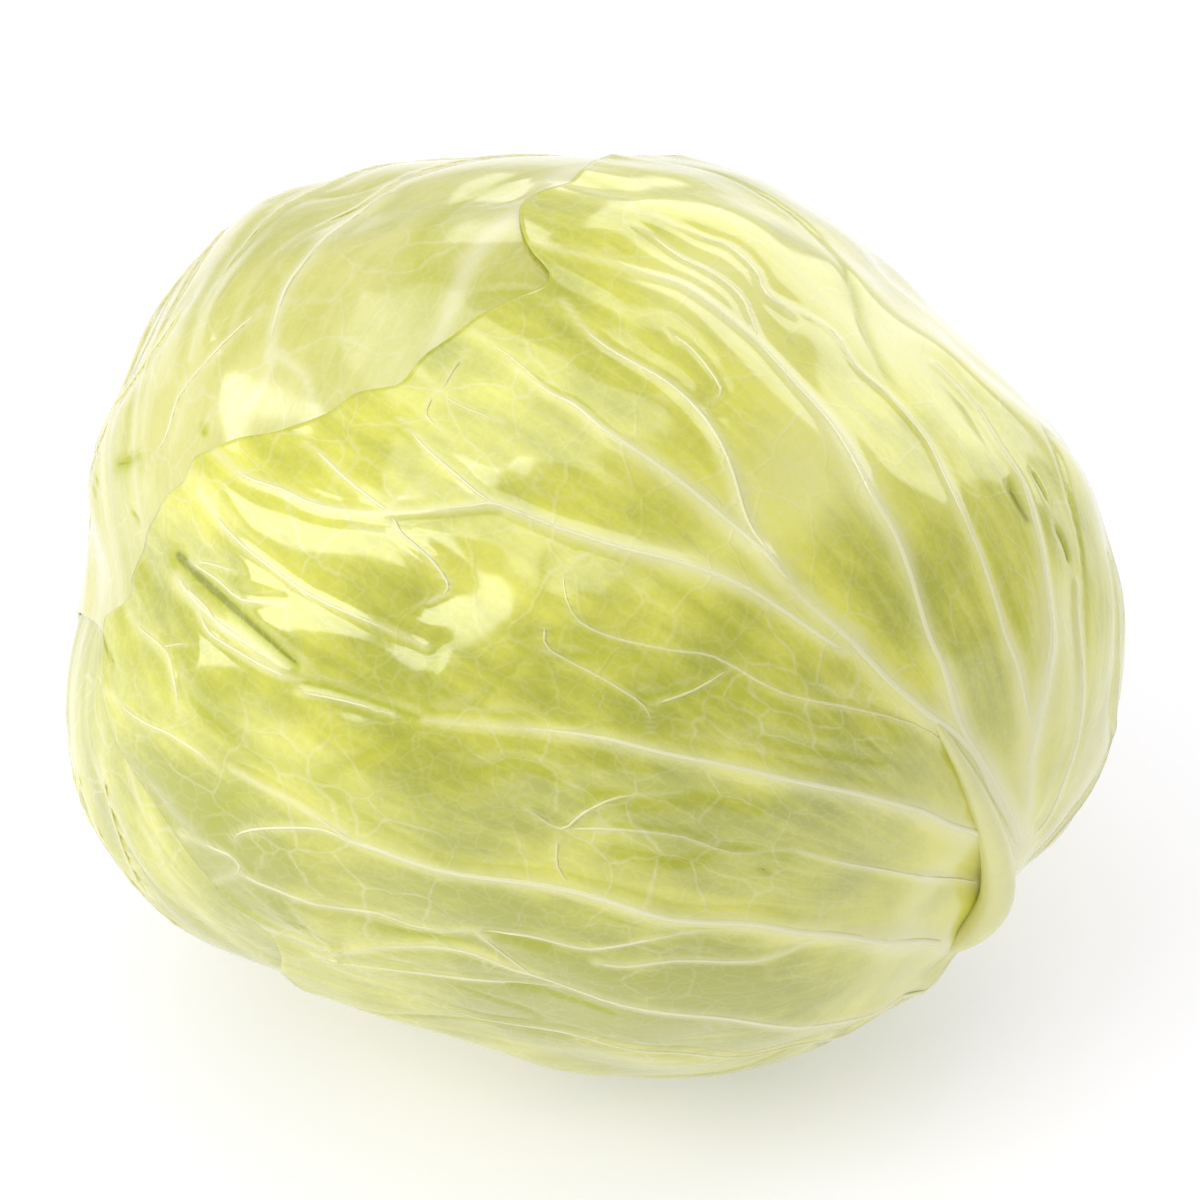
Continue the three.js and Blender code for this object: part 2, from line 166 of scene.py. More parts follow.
LEAVES = [
    SimpleNamespace(name="left_leaf", lean=50, swing=32.5, waves=9,
                    reach=side_reach(62, 86, 98, 104, 108, 104, 94, 82, 60)),
    SimpleNamespace(name="back_leaf", lean=50, swing=170, waves=8,
                    reach=side_reach(58, 82, 96, 108, 112, 106, 98, 88, 64)),
    SimpleNamespace(name="right_leaf", lean=50, swing=-52.5, waves=9,
                    reach=side_reach(62, 84, 100, 110, 110, 106, 96, 84, 62)),
    SimpleNamespace(name="under_leaf", lean=50, swing=85, waves=8,
                    reach=side_reach(60, 78, 92, 100, 104, 104, 98, 88, 64)),
    SimpleNamespace(name="top_leaf", lean=88, swing=-115, waves=10, reach=[
        (-180, 78.5), (-160, 80), (-140, 82), (-110, 84), (-75, 96), (-50, 112), (-30, 124), (-10, 131),
        (10, 138), (37, 126), (50, 116), (75, 90), (110, 75), (145, 79), (160, 80)]),
    SimpleNamespace(name="front_leaf", lean=24.3, swing=-3.6, waves=11, reach=[
        (-180, 14.5), (-160, 18), (-142, 32), (-120, 56), (-100, 84), (-80, 110), (-61, 117), (-37, 112),
        (-19, 104), (-5, 106), (10, 116), (32, 125), (48, 124), (58, 105), (70, 92), (85, 90), (105, 66),
        (130, 40), (146, 26), (162, 17)]),
]
for leaf in LEAVES:
    leaf.centre = towards(leaf.lean, leaf.swing)
    leaf.ahead = unit((STEM @ leaf.centre) * leaf.centre - STEM)
    leaf.across = np.cross(leaf.centre, leaf.ahead)


def reach_at(leaf, heading):
    """The blade's reach at a heading: the closed cubic curve through the reach points whose slope at each
    is that between its neighbours."""
    angle, reach = np.array(leaf.reach, float).T
    count = len(angle)
    angle = np.concatenate([angle - 360, angle, angle + 360])
    reach = np.tile(reach, 3)
    slope = (np.roll(reach, -1) - np.roll(reach, 1)) / (np.roll(angle, -1) - np.roll(angle, 1))
    at = (heading + 180) % 360 - 180
    last = np.clip(np.searchsorted(angle, at, side="right") - 1, count - 1, 2 * count)
    span = angle[last + 1] - angle[last]
    t = (at - angle[last]) / span
    return (reach[last] * (1 + 2 * t) * (1 - t) ** 2 + slope[last] * span * t * (1 - t) ** 2
            + reach[last + 1] * t * t * (3 - 2 * t) + slope[last + 1] * span * t * t * (t - 1))


def in_fan(leaf, direction):
    """A direction's angle from the leaf's centre and its heading there."""
    away = np.degrees(np.arccos(np.clip(direction @ leaf.centre, -1, 1)))
    return away, np.degrees(np.arctan2(direction @ leaf.across, direction @ leaf.ahead))


def from_fan(leaf, away, heading):
    """cos(away) * centre + sin(away) * (cos(heading) * ahead + sin(heading) * across)."""
    away, heading = np.radians(away)[..., None], np.radians(heading)[..., None]
    return np.cos(away) * leaf.centre + np.sin(away) * (
        np.cos(heading) * leaf.ahead + np.sin(heading) * leaf.across)


def past_edge(leaf, direction):
    """Millimetres past the leaf's margin, square to it: (away - reach) over the margin's slant, which fades
    to nothing at the fan's centre."""
    away, heading = in_fan(leaf, direction)
    turn = (reach_at(leaf, heading + 2) - reach_at(leaf, heading - 2)) * smoothstep(away, 8, 25)
    slant = np.hypot(1, turn / 4 / np.maximum(np.sin(np.radians(away)), 0.2))
    return np.radians(away - reach_at(leaf, heading)) * OUTLINE_RADIUS / slant


def layers(order, direction):
    """A leaf's inner face, how open it lies and its lowest plane. The inner face is the head's outside less
    the pitch of every leaf, spread evenly, plus that of the leaves under it, which fades past their margins.
    It is open where no later leaf lies over it."""
    radius = head_radius(direction)
    open_air = np.ones(radius.shape)
    plane = np.full(radius.shape, REST_PLANE)
    for index, leaf in enumerate(LEAVES):
        past = past_edge(leaf, direction)
        present = 1 - smoothstep(past, 5, 28)
        radius -= LAYER_PITCH * (1 - smoothstep(past, -28, 28))
        if index < order:
            radius += LAYER_PITCH * present
        if index > order:
            open_air *= smoothstep(past, 7, 26)
            plane += LAYER_PITCH * present
    return radius, open_air, plane


def add_piece(name, places, faces, values, material, replaced):
    """A closed smooth mesh from places in millimetres round the head's centre, with one value per vertex
    for each named attribute."""
    mesh = bpy.data.meshes.new(name)
    mesh.from_pydata(((places + HEAD_CENTRE) / 1000).tolist(), [], faces)
    mesh.shade_smooth()
    for key, value in values.items():
        kind, field = ("FLOAT", "value") if value.ndim == 1 else ("FLOAT_VECTOR", "vector")
        data = mesh.attributes.new(key, kind, "POINT").data
        data.foreach_set(field, value.astype(np.float32).ravel())
    mesh.materials.append(material)
    piece = bpy.data.objects.new(name, mesh)
    bpy.context.scene.collection.objects.link(piece)
    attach(piece, "root")
    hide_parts(replaced)


class Wire:
    """A node's output that takes part in sums and products like a number."""

    def __init__(self, tree, socket):
        self.tree = tree
        self.socket = socket

    def maths(self, operation, first, second):
        node = self.tree.nodes.new("ShaderNodeMath")
        node.operation = operation
        for socket, value in zip(node.inputs, (first, second)):
            join(self.tree, socket, value)
        return Wire(self.tree, node.outputs[0])

    def __add__(self, other):
        return self.maths("ADD", self, other)

    __radd__ = __add__

    def __sub__(self, other):
        return self.maths("SUBTRACT", self, other)

    def __rsub__(self, other):
        return self.maths("SUBTRACT", other, self)

    def __mul__(self, other):
        return self.maths("MULTIPLY", self, other)

    def step(self, start, end):
        """3t^2 - 2t^3, where t goes from 0 at start to 1 at end."""
        node = self.tree.nodes.new("ShaderNodeMapRange")
        node.interpolation_type = "SMOOTHSTEP"
        for key, value in {"Value": self, "From Min": start, "From Max": end}.items():
            join(self.tree, node.inputs[key], value)
        return Wire(self.tree, node.outputs["Result"])


def join(tree, socket, value):
    """Feeds a socket from a wire, or sets it to a constant."""
    if isinstance(value, Wire):
        tree.links.new(value.socket, socket)
    else:
        socket.default_value = value


class Paint:
    """A material under construction. The node method adds any node: its type, its settings, its inputs."""

    def __init__(self, name):
        self.material = bpy.data.materials.new(name)
        self.material.use_nodes = True
        self.tree = self.material.node_tree
        self.surface = self.tree.nodes["Principled BSDF"]

    def node(self, kind, settings, inputs, output=0):
        node = self.tree.nodes.new("ShaderNode" + kind)
        for key, value in settings.items():
            setattr(node, key, value)
        for key, value in inputs.items():
            join(self.tree, node.inputs[key], value)
        return Wire(self.tree, node.outputs[output])

    def attribute(self, name):
        return self.node("Attribute", {"attribute_name": name}, {}, "Fac")

    def mix(self, share, start, end):
        """The colour start + (end - start) * share. Inputs 6 and 7 are the two colours."""
        return self.node(
            "Mix", {"data_type": "RGBA", "clamp_factor": True}, {0: share, 6: start, 7: end}, 2)

    def noise(self, place, scale, detail=2.0, roughness=0.5):
        return self.node(
            "TexNoise", {}, {"Vector": place, "Scale": scale, "Detail": detail, "Roughness": roughness})

    def cell_edges(self, place, scale):
        """Distance to the nearest edge between the cells of a random net."""
        return self.node(
            "TexVoronoi", {"feature": "DISTANCE_TO_EDGE"}, {"Vector": place, "Scale": scale})

    def finish(self, **inputs):
        for key, value in inputs.items():
            join(self.tree, self.surface.inputs[key.replace("_", " ")], value)
        return self.material


def scattered_waves(direction, length, seed):
    """Smooth unevenness of about -1 to 1: the sum of 14 sine waves with seeded ways and phases, whose
    crests are about one length apart on the head."""
    random = np.random.default_rng(seed)
    way = random.normal(size=(14, 3))
    way *= (random.uniform(0.7, 1.4, 14) / np.linalg.norm(way, axis=1))[:, None]
    phase = random.uniform(0, 2 * np.pi, 14)
    turn = direction @ way.T * (2 * np.pi * OUTLINE_RADIUS / length) + phase
    return np.sin(turn).sum(axis=-1) / 3.2


# The heart: young leaves folded tight over each other into a dense ball. Their margins stand up as low
# spiral steps, and the stalk's inner end sits in a recess, whose floor and wall end at these leans.
HEART_GAP = 1.4
HEART_STEP = 1.6
HEART_STEPS = 5
HEART_TWIST = 2.2
HEART_SIDES = 160
RECESS_FLOOR = 8.4
RECESS_WALL = 9.6
RECESS_DISTANCE = 58.5


def heart_place(lean, swing):
    """The innermost leaf's layer less a gap, less a step that sinks evenly round the stem and then stands
    up at once, less a collar by the stalk. The recess has a flat floor."""
    direction = towards(lean, swing)
    radius, _, plane = layers(0, direction)
    turn = (HEART_STEPS * swing / 360 + HEART_TWIST * lean / 180) % 1
    step = HEART_STEP * (1 - turn) * np.sin(np.radians(lean))
    collar = 6 * (1 - smoothstep(lean, RECESS_WALL, 32))
    radius -= HEART_GAP + step + collar
    down = np.minimum(direction[..., 2], -1e-6)
    lowest = plane + LAYER_PITCH * (1 - smoothstep(past_edge(LEAVES[0], direction), 5, 28))
    radius = np.where(direction[..., 2] < 0, np.minimum(radius, lowest / down), radius)
    radius = np.where(
        lean <= RECESS_FLOOR, RECESS_DISTANCE / np.cos(np.radians(np.minimum(lean, 60))), radius)
    return direction * radius[..., None]


def ring_faces(rings, sides, start=0):
    """Quads between rings that are closed round, each ring of as many sides, listed one after another."""
    ring, side = np.meshgrid(np.arange(rings - 1), np.arange(sides), indexing="ij")
    after = (side + 1) % sides
    first = start + ring * sides
    quads = np.stack([first + side, first + sides + side, first + sides + after, first + after], -1)
    return quads.reshape(-1, 4)


def capped_faces(rings, sides):
    """Quads between the rings, and triangles from the first ring to one pole and from the last to another,
    which are listed after them."""
    count = rings * sides
    side = np.arange(sides)
    after = (side + 1) % sides
    first = np.stack([np.full(sides, count), side, after], -1)
    last = np.stack([np.full(sides, count + 1), count - sides + after, count - sides + side], -1)
    return [*ring_faces(rings, sides).tolist(), *first.tolist(), *last.tolist()]


heart_leans = np.concatenate([[2, 5, RECESS_FLOOR, RECESS_WALL], np.linspace(11, 178, 84)])
heart_swings = np.linspace(0, 360, HEART_SIDES, endpoint=False)
lean_grid, swing_grid = np.meshgrid(heart_leans, heart_swings, indexing="ij")
heart_places = np.concatenate([
    heart_place(lean_grid, swing_grid).reshape(-1, 3),
    heart_place(np.array([0.0, 180.0]), np.array([0.0, 0.0]))])
heart_paint = Paint("packed_young_leaf")
place = heart_paint.node("TexCoord", {}, {}, "Object")
cloud = heart_paint.noise(place, 45.0, 4.0)
net = heart_paint.cell_edges(place, 140.0).step(0.1, 0.0)
heart_colour = heart_paint.mix(cloud.step(0.35, 0.7), (0.78, 0.8, 0.42, 1), (0.88, 0.88, 0.62, 1))
heart_colour = heart_paint.mix(net * 0.5, heart_colour, (0.92, 0.92, 0.78, 1))
heart_material = heart_paint.finish(Base_Color=heart_colour, Roughness=0.5)
add_piece("heart_ball", heart_places, capped_faces(len(heart_leans), HEART_SIDES), {}, heart_material,
          "heart")

# The stalk: the stump that every leaf grows from, woody outside and pithy inside, cut flat with a knife
# below the head. The scars of leaves that were pulled off ring it.
STALK_RADIUS = 13.5
STALK_INNER_END = 60
STALK_OUTER_END = 91.5
STALK_SCARS = 5
CUT_DISH = 0.25
STALK_SIDES = 96
SIDE_RINGS = 60
CUT_RINGS = 22


def stalk_place(share, swing):
    """A cone of the stem axis whose radius is in proportion to the distance from the centre, less a groove
    at each scar, whose height wanders round the stalk, and rounded at the cut."""
    wander = 0.04 * np.sin(np.radians(3 * swing)) + 0.03 * np.sin(np.radians(2 * swing + 50))
    along = blend(STALK_INNER_END, STALK_OUTER_END, share)
    scar = 0.7 * np.maximum(0, np.sin(2 * np.pi * STALK_SCARS * (share + wander * (1 - share)))) * share
    uneven = 0.25 * np.sin(np.radians(7 * swing)) * share
    radius = STALK_RADIUS * along / STALK_OUTER_END - scar - uneven - 0.9 * smoothstep(share, 0.94, 1) ** 2
    return along[..., None] * STEM + radius[..., None] * towards(np.full(swing.shape, 90), swing)


def cut_place(share, swing):
    """The cut face: from its rim in to the stem axis, a little dished, with low marks of the knife."""
    rim = stalk_place(np.ones(share.shape), swing)
    axis = STALK_OUTER_END * STEM
    flat = axis + (rim - axis) * (1 - share)[..., None]
    mark = 0.12 * np.sin((flat @ SWING_ZERO) * 1.9) * smoothstep(share, 0, 0.15)
    return flat + (mark - CUT_DISH * smoothstep(share, 0.05, 0.5))[..., None] * STEM


stalk_swings = np.linspace(0, 360, STALK_SIDES, endpoint=False)
side_share, side_swing = np.meshgrid(np.linspace(0, 1, SIDE_RINGS), stalk_swings, indexing="ij")
cut_share, cut_swing = np.meshgrid(np.linspace(0.04, 0.96, CUT_RINGS), stalk_swings, indexing="ij")
stalk_places = np.concatenate([
    stalk_place(side_share, side_swing).reshape(-1, 3), cut_place(cut_share, cut_swing).reshape(-1, 3),
    STALK_INNER_END * STEM[None], (STALK_OUTER_END - CUT_DISH) * STEM[None]])
stalk_faces = [face[::-1] for face in capped_faces(SIDE_RINGS + CUT_RINGS, STALK_SIDES)]
on_cut = np.concatenate([np.zeros(side_share.size), np.ones(cut_share.size), [0, 1]])
pith = np.concatenate([np.zeros(side_share.size), cut_share.ravel(), [0, 1]])
stalk_paint = Paint("stalk_flesh")
place = stalk_paint.node("TexCoord", {}, {}, "Object")
cloud = stalk_paint.noise(place, 220.0, 5.0, 0.6)
ring = stalk_paint.attribute("pith")
side_colour = stalk_paint.mix(cloud.step(0.3, 0.7), (0.62, 0.62, 0.3, 1), (0.8, 0.79, 0.52, 1))
cut_colour = stalk_paint.mix(ring.step(0.1, 0.35), (0.5, 0.42, 0.2, 1), (0.84, 0.82, 0.62, 1))
cut_colour = stalk_paint.mix(cloud.step(0.55, 0.8) * 0.35, cut_colour, (0.62, 0.5, 0.28, 1))
stalk_colour = stalk_paint.mix(stalk_paint.attribute("cut"), side_colour, cut_colour)
stalk_bump = stalk_paint.node("Bump", {}, {"Strength": 0.35, "Distance": 0.0006, "Height": cloud})
stalk_material = stalk_paint.finish(Base_Color=stalk_colour, Roughness=0.62, Normal=stalk_bump)
add_piece("stalk_stump", stalk_places, stalk_faces, {"cut": on_cut, "pith": pith}, stalk_material, "stalk")


# The wrapper leaves: thin waxy blades, each grown from the stalk by a thick pale midrib whose side ribs
# branch to the margin, with a fine net of veins between. They lie over each other, held by their own curl.
def leaf_material(name, light, deep, vein):
    """Two greens that wander over the blade, paler on the ribs and on the net between them, with fine
    wrinkles that run along the ribs, under a coat of wax. The shade value deepens or lightens the green,
    partly the leaf's own tone and partly painted shade and painted light. The wrinkles deepen the green
    along them as painted shade, and the crease value turns it dark olive as painted shade in creases and
    folds."""
    paint = Paint(name)
    place = paint.node("TexCoord", {}, {}, "Object")
    rib = paint.attribute("rib")
    shade = paint.attribute("shade")
    crease_shade = paint.attribute("crease_shade")
    flow = paint.node("Attribute", {"attribute_name": "flow"}, {}, "Vector")
    drift = paint.node("TexNoise", {}, {"Vector": place, "Scale": 110.0, "Detail": 2.0}, "Color")
    cells = paint.node("VectorMath", {"operation": "MULTIPLY"}, {0: flow, 1: (0.42, 0.42, 1.7)})
    bent = paint.node("VectorMath", {"operation": "MULTIPLY_ADD"}, {0: drift, 1: (0.6, 0.6, 0.6), 2: cells})
    cloud = paint.noise(place, 32.0, 3.5, 0.6)
    clear_of_stalk = paint.node("SeparateXYZ", {}, {"Vector": flow}, "Z").step(1.0, 3.2)
    wrinkle = (paint.noise(flow, 1.0, 3.0, 0.55) - 0.5) * clear_of_stalk
    wide_line = paint.cell_edges(bent, 0.8).step(0.04, 0.0) * clear_of_stalk
    fine_line = paint.cell_edges(bent, 2.6).step(0.09, 0.0) * clear_of_stalk
    speck = paint.noise(place, 900.0, 2.0, 0.7)
    # The green follows the shade value and the wrinkles: painted shade and painted light besides the leaf's
    # own tone, and below -0.2 the shade value bleaches it toward the vein colour.
    depth = (cloud - 0.5) * 2.4 + shade + 0.45 + wrinkle * 1.1 + (speck - 0.5) * 0.4
    colour = paint.mix(depth, light, deep)
    colour = paint.mix((shade * -1.0 - 0.2) * (speck * 1.4 + 0.3), colour, vein)
    # Dark olive along creases and folds: painted shade.
    colour = paint.mix(crease_shade * 1.3, colour, (0.46, 0.49, 0.015, 1))
    colour = paint.mix(crease_shade.step(0.75, 0.95), colour, (0.27, 0.29, 0.02, 1))
    seen = cloud.step(0.6, 0.42) * 0.2 + 0.06
    colour = paint.mix(fine_line * 0.1 + wide_line * seen, colour, vein)
    colour = paint.mix(rib, colour, vein)
    height = wide_line * 0.15 + wrinkle * 1.0 + cloud * 0.8 + speck * 0.12
    bump = paint.node("Bump", {}, {"Strength": 0.5, "Distance": 0.0006, "Height": height})
    roughness = 0.34 + cloud * 0.16 + rib * 0.1
    return paint.finish(
        Base_Color=colour, Roughness=roughness, Normal=bump, Coat_Roughness=0.13,
        Coat_Weight=(1 - crease_shade) * (1 - rib * 0.5), Coat_IOR=1.9)


def curved(points, pieces=3):
    """The points, with more of them between on the cubic curve through them all."""
    points = np.asarray(points, float)
    ends = np.concatenate([2 * points[:1] - points[1:2], points, 2 * points[-1:] - points[-2:-1]])
    before, start, end, after = ends[:-3], ends[1:-2], ends[2:-1], ends[3:]
    t = np.linspace(0, 1, pieces, endpoint=False)[:, None, None]
    between = 0.5 * (2 * start + (end - before) * t + (2 * before - 5 * start + 4 * end - after) * t ** 2
                     + (3 * start - before - 3 * end + after) * t ** 3)
    return np.concatenate([between.transpose(1, 0, 2).reshape(-1, points.shape[1]), points[-1:]])


def stroke(directions, widths, heights, paleness=1.0):
    """A rib along directions from the head's centre, whose width and height run evenly from end to end."""
    return SimpleNamespace(
        places=directions * OUTLINE_RADIUS, widths=widths, heights=heights, paleness=paleness)


def drawn(pixels, widths, heights, paleness=1.0):
    """A rib of the photograph, drawn over its pixels."""
    return stroke(from_photo(curved(pixels)), widths, heights, paleness)


# How far from its line a rib is felt, and how far the distance to the nearest one counts.
RIB_RANGE = 10
FARTHEST = 12.0


def rib_fields(direction, strokes):
    """How high the strokes stand, how pale they are, how far the nearest is and the frosted band beside it.
    Each stands height * exp(-(distance / half width)^2), and where strokes meet their cubes add up."""
    place = direction * OUTLINE_RADIUS
    high = np.zeros(len(place))
    pale = np.zeros(len(place))
    band = np.zeros(len(place))
    near = np.full(len(place), FARTHEST)
    for line in strokes:
        middle = (line.places.min(axis=0) + line.places.max(axis=0)) / 2
        extent = np.linalg.norm(line.places - middle, axis=1).max()
        index = np.flatnonzero(((place - middle) ** 2).sum(axis=1) < (extent + RIB_RANGE) ** 2)
        if not len(index):
            continue
        local = place[index]
        count = len(line.places) - 1
        best = np.full(len(index), FARTHEST ** 2)
        along = np.zeros(len(index))
        for step in range(count):
            start, end = line.places[step], line.places[step + 1]
            span = end - start
            share = np.clip((local - start) @ span / max(span @ span, 1e-9), 0, 1)
            gap = ((local - start - share[:, None] * span) ** 2).sum(axis=1)
            closer = gap < best
            best = np.where(closer, gap, best)
            along = np.where(closer, (step + share) / count, along)
        half = blend(*line.widths, along) / 2
        ridge = np.exp(-best / half ** 2)
        high[index] += (blend(*line.heights, along) * ridge) ** 3
        pale[index] = np.maximum(pale[index], line.paleness * np.exp(-best / (0.9 * half) ** 2))
        band[index] = np.maximum(band[index], np.minimum(1, blend(*line.heights, along)) * np.exp(
            -best / (1.9 * half) ** 2))
        near[index] = np.minimum(near[index], np.sqrt(best))
    return np.cbrt(high), pale, near, band


RIB_PAIRS = 7
SIDE_STEPS = 14


def grown_ribs(leaf, seed):
    """Ribs by the rule of growth: a midrib from the stalk to the tip, pairs of side ribs that leave it in
    turn and bend to the tip. In degrees ahead of and across from the leaf's centre."""
    random = np.random.default_rng(seed)

    def lay(ahead, across):
        return from_fan(leaf, np.hypot(ahead, across), np.degrees(np.arctan2(across, ahead)))

    back = float(reach_at(leaf, np.array(180.0)))
    front = float(reach_at(leaf, np.array(0.0)))
    t = np.linspace(0, 1, 24)
    sway = 3 * np.sin(2.2 * t + random.uniform(0, 3))
    lines = [stroke(lay(blend(-back, front * 0.96, t), sway * t), (12, 1.6), (3.4, 0.5))]
    for pair in range(RIB_PAIRS):
        for side in (-1, 1):
            rank = (pair + random.uniform(-0.2, 0.2) + 0.3 * (side > 0)) / RIB_PAIRS
            start = blend(-back * 0.92, front * 0.72, rank)
            angle = blend(62, 34, pair / RIB_PAIRS) + random.uniform(-5, 5)
            step = random.uniform(70, 92) * (1 - 0.35 * abs(pair / RIB_PAIRS - 0.4)) / SIDE_STEPS
            bend = np.radians(angle - 16 * np.linspace(0, 1, SIDE_STEPS))
            ahead = start + (np.cumsum(np.cos(bend)) - np.cos(bend[0])) * step
            across = side * (np.cumsum(np.sin(bend)) - np.sin(bend[0])) * step
            size = blend(1, 0.6, pair / RIB_PAIRS)
            lines.append(stroke(lay(ahead, across), (4.6 * size, 1.0), (1.5 * size, 0.25), 0.9))
    return lines


def mounds(places, rows):
    """The sum of rounded mounds, each a height * exp(-(distance from its middle / width)^2)."""
    total = np.zeros(places.shape[:-1])
    for middle, width, height in rows:
        total += height * np.exp(-((places - middle) ** 2).sum(axis=-1) / width ** 2)
    return total


def blade_at(leaf, direction):
    """The outer and inner face of a blade, its lowest plane and its painted values, in each direction:
    layer - dents + thickness + ribs + the puffed and folded blade between them, pressed down and waved at
    the margin."""
    away, heading = in_fan(leaf, direction)
    share = away / leaf.edge(heading)
    radius, open_air, plane = layers(leaf.order, direction)
    near_edge = smoothstep(share, 0.7, 1)
    very_edge = smoothstep(share, 0.88, 1)
    turn = np.radians(heading)
    wave = 1.8 * leaf.lift * (0.5 - 0.5 * np.cos(leaf.waves * turn))
    ruffle = very_edge * (0.2 * np.sin(31 * turn + leaf.order) + 0.15 * np.sin(53 * turn + 2 * leaf.order))
    radius -= mounds(direction, leaf.dents)
    inner = radius - 0.2 * near_edge - leaf.press * very_edge + (wave + ruffle) * near_edge * open_air
    flat = direction.reshape(-1, 3)
    high, pale, near, band = (x.reshape(away.shape) for x in rib_fields(flat, leaf.ribs))
    deep, crease_shade, _, _ = (x.reshape(away.shape) for x in rib_fields(flat, leaf.creases))
    high *= 1 - leaf.gather * np.exp(-(away / 10) ** 2)
    flow = np.stack([26 * np.cos(turn), 26 * np.sin(turn), 5 * np.radians(away)], -1)
    fold = scattered_waves(flow * np.array([0.016, 0.016, 0.028]), 26, leaf.order + 9)
    fold *= smoothstep(away, 10, 32)
    groove = np.clip(1 - np.abs(fold) / 0.16, 0, 1) ** 2 * smoothstep(near, 1.5, 5) * smoothstep(away, 20, 40)
    puffed = 0.55 * (1 - np.exp(-(near / 3.5) ** 2)) + 0.3 * scattered_waves(direction, 26, leaf.order)
    relief = high - deep + puffed + 0.16 * fold * smoothstep(near, 0, 4) - 0.4 * groove
    outer = inner + blend(BLADE, BLADE_AT_EDGE, very_edge)
    outer += blend(np.minimum(relief, 0.25), relief, open_air) * (1 - near_edge ** 2 * 0.75)
    # The shade value: deeper all over and in some patches as painted shade, lighter in others as painted
    # light, besides the leaf's own mottling, and lighter in the frosted band.
    shade = leaf.deeper + mounds(direction, leaf.patches) - 0.4 * band
    # The grooves between folds take the crease colour: painted shade in the troughs.
    crease_shade = np.maximum(crease_shade, 0.5 * groove)
    return outer, inner, plane, {"rib": pale, "shade": shade, "crease_shade": crease_shade, "flow": flow}


INNER_RINGS = 16


def blade_piece(leaf, headings, rings, material):
    """One blade: rings of headings at shares of the reach over the outer face, round the margin and back
    over the inner face."""
    edge = leaf.edge(headings)
    shares = np.concatenate([[0.004], np.linspace(0.012, 1, rings)])
    inner_shares = np.linspace(0.06, 1, INNER_RINGS)[::-1]
    outer_way, inner_way = (
        from_fan(leaf, share[:, None] * edge, np.broadcast_to(headings, (len(share), len(edge))))
        for share in (shares, inner_shares))
    outer, below, outer_plane, values = blade_at(leaf, outer_way)
    _, inner, inner_plane, _ = blade_at(leaf, inner_way)
    rim_way = from_fan(leaf, edge + 0.2, headings)
    grid = np.concatenate([
        outer_way * outer[..., None], (rim_way * (outer[-1] + below[-1])[:, None] / 2)[None],
        inner_way * inner[..., None]])
    floor = np.concatenate([outer_plane, outer_plane[-1:] + 0.3, inner_plane + BLADE])
    grid[..., 2] = np.maximum(grid[..., 2], floor)
    sides = len(headings)
    count = grid.shape[0] * sides
    poles = np.stack([leaf.centre * outer[0].mean(), leaf.centre * inner[-1].mean()])
    values["rib"] = values["rib"] * 0.5
    painted = {}
    for key, value in values.items():
        last = np.broadcast_to(value[-1] * (key != "crease_shade"), (INNER_RINGS + 1, *value.shape[1:]))
        whole = np.concatenate([value, last]).reshape(count, *value.shape[2:])
        painted[key] = np.concatenate([whole, value[0].mean(axis=0, keepdims=True), 0 * whole[:1]])
    add_piece(leaf.name + "_blade", np.concatenate([grid.reshape(-1, 3), poles]),
              capped_faces(grid.shape[0], sides), painted, material, leaf.name)


def tube_faces(rings, sides, start=0):
    """Quads between the rings and a face at each end."""
    first = start + np.arange(sides)
    last = first + (rings - 1) * sides
    return [*ring_faces(rings, sides, start)[:, ::-1].tolist(), first.tolist(), last[::-1].tolist()]


def vein_piece(leaf, lines, material):
    """The fine veins: closed strands of a lens-shaped section, half sunk in the blade, thin at both ends."""
    turn = np.radians([0, 25, 50, 75, 105, 130, 155, 180, 270])
    sides = len(turn)
    ways, lifts, pales, faces = [], [], [], []
    start = 0
    for line in lines:
        path = line.places / OUTLINE_RADIUS
        count = len(path)
        along = np.linspace(0, 1, count)
        thin = np.minimum(smoothstep(along, -0.1, 0.12), 1 - 0.9 * smoothstep(along, 0.7, 1.0))
        forward = np.gradient(path, axis=0)
        aside = unit(np.cross(forward, path))
        half = blend(*line.widths, along) / 2 * thin
        way = path[:, None] + aside[:, None] * (half[:, None] * np.cos(turn) / OUTLINE_RADIUS)[..., None]
        height = blend(*line.heights, along)
        lift = height[:, None] * thin[:, None] * np.maximum(np.sin(turn), -0.3) - 0.12
        lift -= 0.35 * (np.sin(turn) < -0.5) + 0.25 * smoothstep(along, 0.85, 1)[:, None]
        lift -= 0.3 * (1 - smoothstep(along, 0, 0.04))[:, None]
        ways.append(unit(way))
        lifts.append(lift)
        pales.append(line.paleness * np.clip(np.sin(turn), 0, 1) ** 0.7 * (0.4 + 0.6 * thin[:, None]))
        faces += tube_faces(count, sides, start)
        start += count * sides
    ways, lifts, pales = (np.concatenate(part) for part in (ways, lifts, pales))
    outer, _, plane, values = blade_at(leaf, ways)
    places = ways * (outer + lifts)[..., None]
    places[..., 2] = np.maximum(places[..., 2], plane)
    values["rib"] = np.maximum(0.5 * values["rib"], pales)
    painted = {key: value.reshape(-1, *value.shape[2:]) for key, value in values.items()}
    add_piece(leaf.name + "_veins", places.reshape(-1, 3), faces, painted, material, leaf.name)


